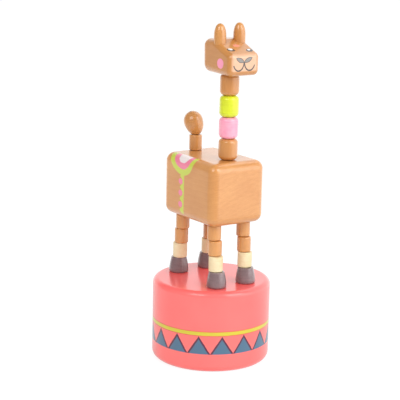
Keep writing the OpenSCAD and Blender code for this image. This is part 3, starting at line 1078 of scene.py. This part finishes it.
@dataclass
class Head:
    """Head block with its painted face and two glued ears."""

    foot: float = 123.4
    crown: float = 137.3
    half_w: float = 7.5
    outline: tuple[tuple[float, float, float], ...] = (
        (-3.2, 126.9, 3.5), (-2.9, 134.1, 3.2), (-7.3, 135.1, 2.2), (-18.0, 130.7, 2.2),
        (-18.0, 125.6, 2.2))
    socket_r: float = 1.9
    socket_d: float = 8.0
    ear_x: float = 4.8
    ear_y: float = -9.0
    ear_r: float = 2.55
    ear_h: float = 6.6
    ear_in: float = 4.2
    ear_straight: float = 0.22
    ear_full: float = 0.85
    glue: float = 0.05
    muzzle_y: float = -20.2
    brow_turn: float = 22.35
    brow: Point = (0.0, -8.137, 137.135)
    muzzle: Point = (-0.3, 0.0, 129.0)
    muzzle_half: Point = (6.3, ENDLESS, 3.6)
    cheek: Point = (7.5, -13.45, 128.2)
    cheek_half: Point = (3.0, 2.2, 2.05)
    patch: tuple[float, float] = (0.3, 5.5)
    patch_half: Point = (1.5, 1.0, 2.0)
    eye_x: float = 4.15
    eye_tilt: float = 14.0
    lid_x: float = 4.2
    lid_drop: float = 0.5
    lid_half: Point = (1.75, 1.2, 1.2)
    nose_x: float = -0.45
    nostril: tuple[tuple[float, float], ...] = ((0.03, 129.15), (3.87, 130.87))
    nostril_bend: float = 3.0
    mouth_wide: float = 2.55
    mouth_deep: float = 3.2
    mouth_top: float = 128.95
    mouth_slant: float = 0.22
    mouth_half: float = 0.32
    # Muzzle colour: peach paint, paler in part as painted light on the blunt front
    peach_and_front_light: str = "#dfad88"
    white: str = "#fbfaf8"
    ink: str = "#3f2f2c"
    grey: str = "#837d77"
    mouth: str = "#3a2c27"
    pink: str = "#fb96b5"
    salmon: str = "#f2957f"

    def build(self) -> None:
        """Makes and dresses the head and the ears."""
        bm = bmesh.new()
        for y, z, radius in self.outline:
            for x in (radius - self.half_w, self.half_w - radius):
                bmesh.ops.create_uvsphere(bm, u_segments=40, v_segments=20, radius=radius,
                                          matrix=Matrix.Translation((x, y, z)))
        hull = bmesh.ops.convex_hull(bm, input=bm.verts, use_existing_faces=False)
        inner = {g for g in hull["geom_interior"] + hull["geom_unused"] if isinstance(g, BMVert)}
        bmesh.ops.delete(bm, geom=list(inner), context="VERTS")
        keep = {g for g in hull["geom"] if isinstance(g, BMFace)}
        spare = [f for f in bm.faces if f not in keep]
        bmesh.ops.delete(bm, geom=spare, context="FACES_ONLY")
        bmesh.ops.dissolve_limit(bm, angle_limit=math.radians(0.6), use_dissolve_boundaries=False,
                                 verts=bm.verts, edges=bm.edges)
        head = settle(bm, "head_block")
        holes = [((0, NECK_Y, self.foot - 1), (0, NECK_Y, self.foot + self.socket_d),
                  self.socket_r)]
        holes += [((s * self.ear_x, self.ear_y, self.crown - self.ear_in - self.glue),
                   (s * self.ear_x, self.ear_y, self.crown + 3), self.ear_r + self.glue)
                  for s in (-1, 1)]
        drilled(head, holes)
        even_normals(head)
        deep = TanLacquer("#cd8c47", "#be7a37", gloss=0.16)
        finish = deep.make("head", (3.0, 0.0, 104.0), "Y", self.paint)
        place(head, "head", "tan_lacquer", finish, "head")
        for side, label in ((-1, "right"), (1, "left")):
            self.ear(side, label)

    def ear(self, side: int, label: str) -> None:
        """Turns one bullet-pointed ear.

        Args:
            side: -1 for the llama's right, 1 for its left.
            label: name of the side.
        """
        straight = self.ear_straight * self.ear_h
        point = []
        for i in range(24):
            a = math.radians(3.75 * i)
            point.append((self.ear_r * math.cos(a) ** self.ear_full,
                          straight + (self.ear_h - straight) * math.sin(a), 0))
        bm = turn_profile([(0, -self.ear_in, 0), (self.ear_r, -self.ear_in, 0.4), *point,
                           (0, self.ear_h, 0)], steps=56, closed=False)
        ear = settle(moved(bm, (side * self.ear_x, self.ear_y, self.crown)), f"ear_{label}_turned")
        finish = TanLacquer("#d08f4a", "#c17d39", bump_mm=0.004, grain=0.3).make(
            f"ear_{label}", (side * 9.0, -2.0, 140.0), "Z")
        place(ear, "head", "tan_lacquer", finish, f"ear_{label}")

    def brow_point(self, x: float, run: float) -> Point:
        """Point on the sloping forehead, at a run from its upper edge."""
        slope = math.radians(self.brow_turn)
        return (x, self.brow[1] - run * math.cos(slope), self.brow[2] - run * math.sin(slope))

    def paint(self, skin: Surface) -> None:
        """Paints the face as the photograph shows it.

        Args:
            skin: the surface to paint on.
        """
        tree, (x, y, z) = skin.tree, skin.xyz
        front = add(tree, Kind.RANGE, y, self.muzzle_y + 1.0, self.muzzle_y + 0.5)
        # Paler muzzle with rounded corners: peach paint, drawn paler in part as painted light
        # falling on the blunt front
        pale = add(tree, Kind.MIRROR, skin.at(self.muzzle, self.muzzle_half))
        sides = add(tree, Kind.SEPARATE, pale).outputs
        widest = add(tree, Kind.SMOOTH_MAX, sides[0], sides[2], 0.25)
        skin.cover(skin.both(skin.within(widest, 0.97, 0.07), front), self.peach_and_front_light)
        # Cheeks and the patch on the forehead
        mirrored = add(tree, Kind.COMBINE, add(tree, Kind.ABSOLUTE, x), y, z)
        skin.cover(skin.oval(self.cheek, self.cheek_half, of=mirrored), self.pink)
        slope = Matrix.Rotation(math.radians(self.brow_turn), 3, "X")
        patch = skin.oval(self.brow_point(*self.patch), self.patch_half, slope.to_euler(), soft=0.2)
        skin.cover(patch, self.salmon)
        # Sleepy eyes: a dark lid line under a white oval
        for side, run, half in ((-1, 8.1, (0.95, 0.75, 1.2)), (1, 9.2, (0.75, 0.55, 1.2))):
            tilt = slope @ Matrix.Rotation(math.radians(self.eye_tilt * side), 3, "Z")
            lid = self.brow_point(side * self.lid_x, run + self.lid_drop)
            skin.cover(skin.oval(lid, self.lid_half, tilt.to_euler()), self.ink)
            eye = self.brow_point(side * self.eye_x, run)
            skin.cover(skin.oval(eye, half, tilt.to_euler()), self.white)
        self.nose_and_mouth(skin, front)

    def nose_and_mouth(self, skin: Surface, front: Node) -> None:
        """Paints the nose and the mouth, mirrored about the drawing's own middle.

        Args:
            skin: the surface to paint on.
            front: mask of the muzzle's blunt end.
        """
        tree, (x, y, z) = skin.tree, skin.xyz
        wobble = skin.unsteady(0.9, 0.3)
        off = add(tree, Kind.ABSOLUTE, add(tree, Kind.ADD, x, -self.nose_x))
        drawn = add(tree, Kind.COMBINE, off, y, z)
        # Leaf-shaped nostrils that meet over the mouth, each between two arcs
        tip, end = (Vector(point) for point in self.nostril)
        half, across = (end - tip).length / 2, (end - tip).orthogonal().normalized()
        depth = math.sqrt(self.nostril_bend ** 2 - half ** 2)
        arcs = []
        for side in (-1, 1):
            mid = (tip + end) / 2 + across * depth * side
            arc = skin.at((mid.x, 0, mid.y), (1, ENDLESS, 1), of=drawn)
            arcs.append(add(tree, Kind.LENGTH, arc))
        leaf = add(tree, Kind.ADD, add(tree, Kind.MAXIMUM, *arcs), wobble)
        for reach, colour in ((0.1, self.mouth), (-0.14, self.grey)):
            skin.cover(skin.both(skin.within(leaf, self.nostril_bend + reach, 0.1), front), colour)
        # Mouth: the lower arcs of two ovals that hang side by side from the nose
        wide, deep, top = self.mouth_wide, self.mouth_deep, self.mouth_top
        oval = add(tree, Kind.LENGTH,
                   skin.at((wide + 0.15, 0, top), (wide, ENDLESS, deep), of=drawn))
        stroke = add(tree, Kind.ABSOLUTE, add(tree, Kind.MULTIPLY_ADD, oval, deep, -deep))
        stroke = add(tree, Kind.MULTIPLY_ADD, wobble, 0.5, stroke)
        slant = add(tree, Kind.MULTIPLY_ADD, off, self.mouth_slant, z)
        ends = add(tree, Kind.RANGE, slant, top + 0.25, top)
        line = skin.both(skin.both(skin.within(stroke, self.mouth_half, 0.12), ends), front)
        skin.cover(line, self.mouth)


@dataclass
class Tail:
    """Tail bead and the egg-shaped knob that leans back on it."""

    y: float = TAIL_Y
    foot: float = TOP_SEAT
    radius: float = 2.75
    height: float = 6.6
    rounding: float = 0.4
    bore: float = 1.65
    knob_r: float = 4.1
    knob_l: float = 10.6
    knob_low: float = 0.59
    lean: float = 14.0
    tip: float = 13.0
    seat: float = 0.35
    mark_r: float = 0.8
    mark_d: float = 1.0
    # Dark of the drilled hole in the knob's end: painted shade
    stain: str = "#4c3a30"

    def along(self, run: float) -> Point:
        """Finds a point on the knob's leaning axis.

        Args:
            run: distance from the knob's seat.

        Returns:
            The point in millimetres.
        """
        centre = Vector((0, self.y, self.foot + self.height - self.seat + self.nose))
        return tuple(centre + self.turn.to_3x3() @ Vector((0, 0, run - self.nose)))

    @property
    def nose(self) -> float:
        """Radius of the knob's narrow end, about whose middle it leans."""
        return self.knob_r ** 2 / (self.knob_l * self.knob_low)

    @property
    def turn(self) -> Matrix:
        """The knob's lean to the back and its tip to the side."""
        return (Matrix.Rotation(math.radians(-self.tip), 4, "Y")
                @ Matrix.Rotation(math.radians(-self.lean), 4, "X"))

    def mark(self, skin: Surface) -> None:
        """Paints the drilled hole at the knob's end dark: painted shade in the hole."""
        off = add(skin.tree, Kind.LENGTH, skin.at(self.along(self.knob_l)))
        skin.cover(skin.within(off, self.mark_r + 0.12, 0.12), self.stain)

    def build(self) -> None:
        """Makes and dresses the bead and the knob."""
        tan = TanLacquer("#d1914c", "#c27d3a", bump_mm=0.002, gloss=0.25,
                         grain=0.2).make("tail", (5.0, 22.0, 95.0), "Z", self.mark)
        piece = bead("tail_bead_turned", (0, self.y, self.foot), self.radius, self.height,
                     self.bore, self.rounding)
        place(piece, "tail_bead", "tan_lacquer", tan, "tail_bead")
        low, high = self.knob_l * self.knob_low, self.knob_l * (1 - self.knob_low)
        egg = []
        for i in range(1, 40):
            a = math.pi * i / 40
            half = low if a < math.pi / 2 else high
            egg.append((self.knob_r * math.sin(a), low - half * math.cos(a), 0))
        bm = turn_profile([(0, 0, 0), *egg, (0, self.knob_l, 0)], steps=64, closed=False)
        moved(bm, (0, 0, -self.nose))
        moved(bm, self.along(self.nose), self.turn)
        knob = settle(bm, "tail_knob_turned")
        drilled(knob, [(self.along(self.knob_l - self.mark_d), self.along(self.knob_l + 1.0),
                        self.mark_r)])
        place(knob, "tail_knob", "tan_lacquer", tan, "tail_knob")


@dataclass
class Cords:
    """Four cords from their knots under the button up through the figure."""

    radius: float = 0.5
    knot_z: float = 3.0
    knot_r: float = 1.2
    knot_cord: float = 0.42
    slack_foot: float = 6.5
    slack_top: float = 32.0
    hoof_top: float = 41.5
    pitch: float = 6.5
    neck_pitch: float = 8.95
    seam: float = 0.05
    stub: float = 1.45
    crisp: float = 80.0
    tail_route: tuple[Point, ...] = (
        (0.95, 14.2, 86.0), (0.95, 14.2, 87.6), (0.87, 14.0, 91.0), (0.85, 13.79, 93.8),
        (0.85, 13.79, 94.95), (0.85, 15.36, 101.2))

    def build(self) -> None:
        """Makes and dresses all lengths of the cords."""
        for leg in Leg:
            self.leg_cord(leg)
        self.neck_cords()
        self.tail_cords()

    def piece(self, name: str, body: str, runs: Sequence[Sequence[Point]], *nodes: str) -> Object:
        """Makes one length of cord, or a pair of them.

        Args:
            name: name of the piece.
            body: body that it moves with, empty for a length across a joint that stays on no body.
            runs: corners of each length.
            nodes: cords that it is a part of.

        Returns:
            The piece.
        """
        bm = bmesh.new()
        for run in runs:
            strand(bm, line_points(run), self.radius)
        return place(settle(bm, name, self.crisp), body, "cotton_cord", COTTON, *nodes)

    def bend(self, part: Object) -> None:
        """Bakes a length of cord's place into its mesh.

        Args:
            part: the length.
        """
        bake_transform(part)

    def knot(self, x: float, y: float, node: str) -> None:
        """Ties the knot under the button, with its short tail and the cord's foot.

        Args:
            x: place of the cord.
            y: place of the cord.
            node: the cord.
        """
        bm = bmesh.new()
        turns, size, low = [], self.knot_r * 0.24, self.knot_z + 1.0
        for i in range(73):
            # An overhand knot runs as a trefoil that is open between its ends
            a = math.radians(20 + 320 * i / 72)
            turns.append((x + size * (math.sin(a) + 2 * math.sin(2 * a)),
                          y + size * (math.cos(a) - 2 * math.cos(2 * a)),
                          low - 0.42 * math.sin(3 * a)))
        strand(bm, turns, self.knot_cord, lay_mm=2.5)
        strand(bm, line_points([(x, y, low), (x, y, self.slack_foot + 0.5)]), self.radius)
        strand(bm, line_points([(x + 0.5, y + 0.2, self.knot_z + 0.8),
                                (x + 0.75, y + 0.35, self.knot_z - 0.6)]), self.radius * 0.9)
        place(settle(bm, f"{node}_knot", self.crisp), "button", "cotton_cord", COTTON, node)

    def leg_cord(self, leg: Leg) -> None:
        """Makes the lengths of one cord, from its knot to the top of the body.

        The length in the drum's hollow is where the cord goes slack as the button is pressed.

        Args:
            leg: the leg that it runs through.
        """
        node = f"cord_{leg.label}"
        x, y = leg.axis()
        self.knot(x, y, node)
        slack = self.piece(f"{node}_slack", "base",
                           [[(x, y, self.slack_foot), (x, y, self.slack_top)]], node)
        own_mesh(slack)
        self.piece(f"{node}_hoof", "base",
                   [[(x, y, self.slack_top - 1), (x, y, self.hoof_top - 3)]], node)
        names = ("cuff", "lower", "upper")
        mids = [(x, leg.axis(i)[1], self.hoof_top - self.pitch / 2 + i * self.pitch)
                for i in range(4)]
        for i, (a, b) in enumerate(zip(mids, mids[1:])):
            joint = (x, (a[1] + b[1]) / 2, self.hoof_top + self.seam + i * self.pitch)
            run = [a, joint, b]
            if i == 2:
                run.append((x, b[1], BODY_FOOT + self.stub))
            part = self.piece(f"{node}_{names[i]}", "", [run], node)
            self.bend(part)
        foot = leg.axis(BODY_LEVEL)
        run = [(*foot, BODY_FOOT - self.stub), (*foot, BODY_FOOT), (*leg.leaving, BODY_TOP)]
        self.piece(f"{node}_body", "torso", [run], node)

    def neck_cords(self) -> None:
        """Makes the pair of cords up the neck, in one length across each joint."""
        for i in range(5):
            joint = BODY_TOP + self.seam + i * self.neck_pitch
            low, high = joint - (4.5 if i else 1.5), joint + (7.4 if i == 4 else 4.5)
            runs = [[(s * NECK_X, NECK_Y, low), (s * NECK_X, NECK_Y, high)] for s in (-1, 1)]
            part = self.piece(f"cord_pair_neck_{i + 1}", "", runs, "cord_front_right",
                              "cord_front_left")
            self.bend(part)

    def tail_cords(self) -> None:
        """Makes the pair of cords through the tail bead into the knob."""
        rows = (("torso", "tail_bead", self.tail_route[:3], (0, TAIL_Y, 87.55), 0.95),
                ("tail_bead", "tail_knob", self.tail_route[2:], (0, 13.8, 94.35), 0.85))
        for i, (low, high, route, joint, half) in enumerate(rows):
            runs = [[(s * x, y, z) for x, y, z in route] for s in (-1, 1)]
            part = self.piece(f"cord_pair_tail_{i + 1}", "", runs, "cord_rear_right",
                              "cord_rear_left")
            self.bend(part)


@dataclass(frozen=True)
class SoftLamp:
    """A soft box that faces the figure: its place and size in metres, and its power."""

    name: str
    spot: Point
    wide: float
    high: float
    watts: float

    def hang(self, target: Point) -> None:
        """Hangs the lamp.

        Args:
            target: the point that it faces, in metres.
        """
        light = bpy.data.lights.new(self.name, "AREA")
        light.shape, light.size, light.size_y = "RECTANGLE", self.wide, self.high
        light.energy = self.watts
        lamp = bpy.data.objects.new(self.name, light)
        lamp.location = self.spot
        facing = Vector(target) - Vector(self.spot)
        lamp.rotation_euler = facing.to_track_quat("-Z", "Y").to_euler()
        lamp.visible_camera = False
        bpy.context.scene.collection.objects.link(lamp)


@dataclass
class Studio:
    """White floor and backdrop, soft light and the camera."""

    azimuth: float = -34.8936
    eye_z: float = 203.8076
    reach: float = 594.9275
    pitch: float = 12.8419
    yaw: float = 0.5404
    roll: float = 1.2037
    lens: float = 129.986
    sky: float = 0.71
    dim: float = 0.2
    paper: str = "#f2f2f2"
    shade: str = "#7c7c7c"
    floor_r: float = 2600.0
    floor_far: float = 1.4
    floor_near: float = 0.8
    floor_share: float = 0.87
    wall_far: float = 1.2
    shadow_reach: tuple[float, float] = (0.3, 0.16)
    gap: Point = (-0.64, -0.22, 0.735)
    target: Point = (0.0, 0.0, 0.075)
    lamps: tuple[SoftLamp, ...] = (SoftLamp("low_right", (0.37, -0.75, 0.25), 0.8, 0.44, 1.3),
                                   SoftLamp("right", (0.22, -0.68, 0.62), 0.56, 0.46, 3.1),
                                   SoftLamp("left", (-0.66, -0.3, 0.68), 0.44, 0.44, 2.6),
                                   SoftLamp("above", (0.55, 0.1, 0.9), 0.36, 0.36, 0.6))

    def build(self) -> None:
        """Sets up the stage."""
        bpy.context.scene.view_settings.view_transform = "Standard"
        self.camera()
        self.floor()
        self.world()
        for lamp in self.lamps:
            lamp.hang(self.target)

    def camera(self) -> None:
        """Places the camera where the photograph was taken from."""
        az, yaw, pitch, roll = (math.radians(v) for v in
                                (self.azimuth, self.yaw, self.pitch, self.roll))
        heading = az + yaw
        ahead = Vector((-math.sin(heading) * math.cos(pitch), math.cos(heading) * math.cos(pitch),
                        -math.sin(pitch)))
        right = ahead.cross(Vector((0, 0, 1))).normalized()
        up = right.cross(ahead)
        right, up = (right * math.cos(roll) + up * math.sin(roll),
                     up * math.cos(roll) - right * math.sin(roll))
        lens = bpy.data.cameras.new("camera")
        lens.lens, lens.sensor_width = self.lens, 36.0
        lens.clip_start, lens.clip_end = 0.05, 50.0
        camera = bpy.data.objects.new("camera", lens)
        turn = Matrix((right, up, -ahead)).transposed().to_4x4()
        eye = Vector((math.sin(az) * self.reach, -math.cos(az) * self.reach, self.eye_z)) * MM
        camera.matrix_world = Matrix.Translation(eye) @ turn
        bpy.context.scene.collection.objects.link(camera)
        bpy.context.scene.camera = camera

    def floor(self) -> None:
        """Lays a pale floor that keeps a faint shadow of the object."""
        bm = bmesh.new()
        bmesh.ops.create_circle(bm, cap_ends=True, segments=96, radius=self.floor_r)
        floor = settle(bm, "studio_floor")
        material = bpy.data.materials.new("white_paper_sweep")
        material.use_nodes = True
        tree = material.node_tree
        tree.nodes.clear()
        path = add(tree, Kind.PATH).outputs
        paper = add(tree, Kind.DIFFUSE, self.paper)
        tint = add(tree, Kind.DIFFUSE, self.shade)
        spot = add(tree, Kind.COORD).outputs["Object"]
        far = add(tree, Kind.LENGTH, spot)
        near = add(tree, Kind.RANGE, far, *self.shadow_reach)
        near = add(tree, Kind.MIX, path["Is Camera Ray"], near, 0.0, data_type="FLOAT")
        level = self.backdrop(tree, spot, path, self.floor_far)
        level = add(tree, Kind.MIX, near, level, self.floor_near, data_type="FLOAT")
        level = add(tree, Kind.MULTIPLY, level, self.floor_share)
        glow = add(tree, Kind.EMISSION, "#ffffff", level)
        shown = add(tree, Kind.ADD_SHADER, tint, glow)
        add(tree, Kind.OUTPUT, add(tree, Kind.MIX_SHADER, self.seen(tree, path), paper, shown))
        floor.data.materials.append(material)

    def world(self) -> None:
        """Sets soft white light all round, and a white backdrop for what the eye sees."""
        world = bpy.data.worlds.new("studio")
        world.use_nodes = True
        bpy.context.scene.world = world
        tree = world.node_tree
        tree.nodes.clear()
        path = add(tree, Kind.PATH).outputs
        soft = add(tree, Kind.SKY, "#ffffff", self.sky)
        way = add(tree, Kind.COORD).outputs["Generated"]
        level = self.backdrop(tree, way, path, self.wall_far)
        white = add(tree, Kind.SKY, "#ffffff", level)
        add(tree, Kind.WORLD, add(tree, Kind.MIX_SHADER, self.seen(tree, path), soft, white))

    def seen(self, tree: NodeTree, path: NodeOutputs) -> Node:
        """Mask of the rays that show the set: straight, mirrored or through glass."""
        straight = add(tree, Kind.MAXIMUM, path["Is Camera Ray"], path["Is Glossy Ray"])
        return add(tree, Kind.MAXIMUM, straight, path["Is Transmission Ray"])

    def backdrop(self, tree: NodeTree, way: Input, path: NodeOutputs, most: float) -> Node:
        """Level of the white set as the object mirrors it: it is open towards the photographer.

        Args:
            tree: node tree to add to.
            way: direction of the set from the object.
            path: outputs of the Light Path node; the camera sees plain white all round.
            most: level of the set's far side.

        Returns:
            The level's node.
        """
        level = add(tree, Kind.NORMALIZE, way)
        level = add(tree, Kind.DOT_PRODUCT, level, self.gap)
        level = add(tree, Kind.RANGE, level, -0.1, 0.35, most, self.dim,
                    interpolation_type="SMOOTHSTEP")
        return add(tree, Kind.MIX, path["Is Camera Ray"], level, 1.0, data_type="FLOAT")


BARE = BareBeech().make()
COTTON = CottonCord().make()


def dress_pegs() -> None:
    """Gives the two inner pegs, which keep their frame solids, their raw wood."""
    for name in ("head_peg", "tail_peg"):
        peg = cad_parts[name]
        if not peg.material_slots:
            peg.data.materials.append(BARE)
        for slot in peg.material_slots:
            slot.material = BARE
        LOG.info("%s: frame solid in raw wood", name)


def main() -> None:
    """Builds the studio and all sub-assemblies, and dresses the pegs."""
    logging.basicConfig(level=logging.INFO, format="%(name)s %(message)s")
    for part in (Studio(), Cords(), DrumBase(), Legs(), Body(), Neck(), Head(), Tail()):
        part.build()
    dress_pegs()


if __name__ == "__main__":
    main()
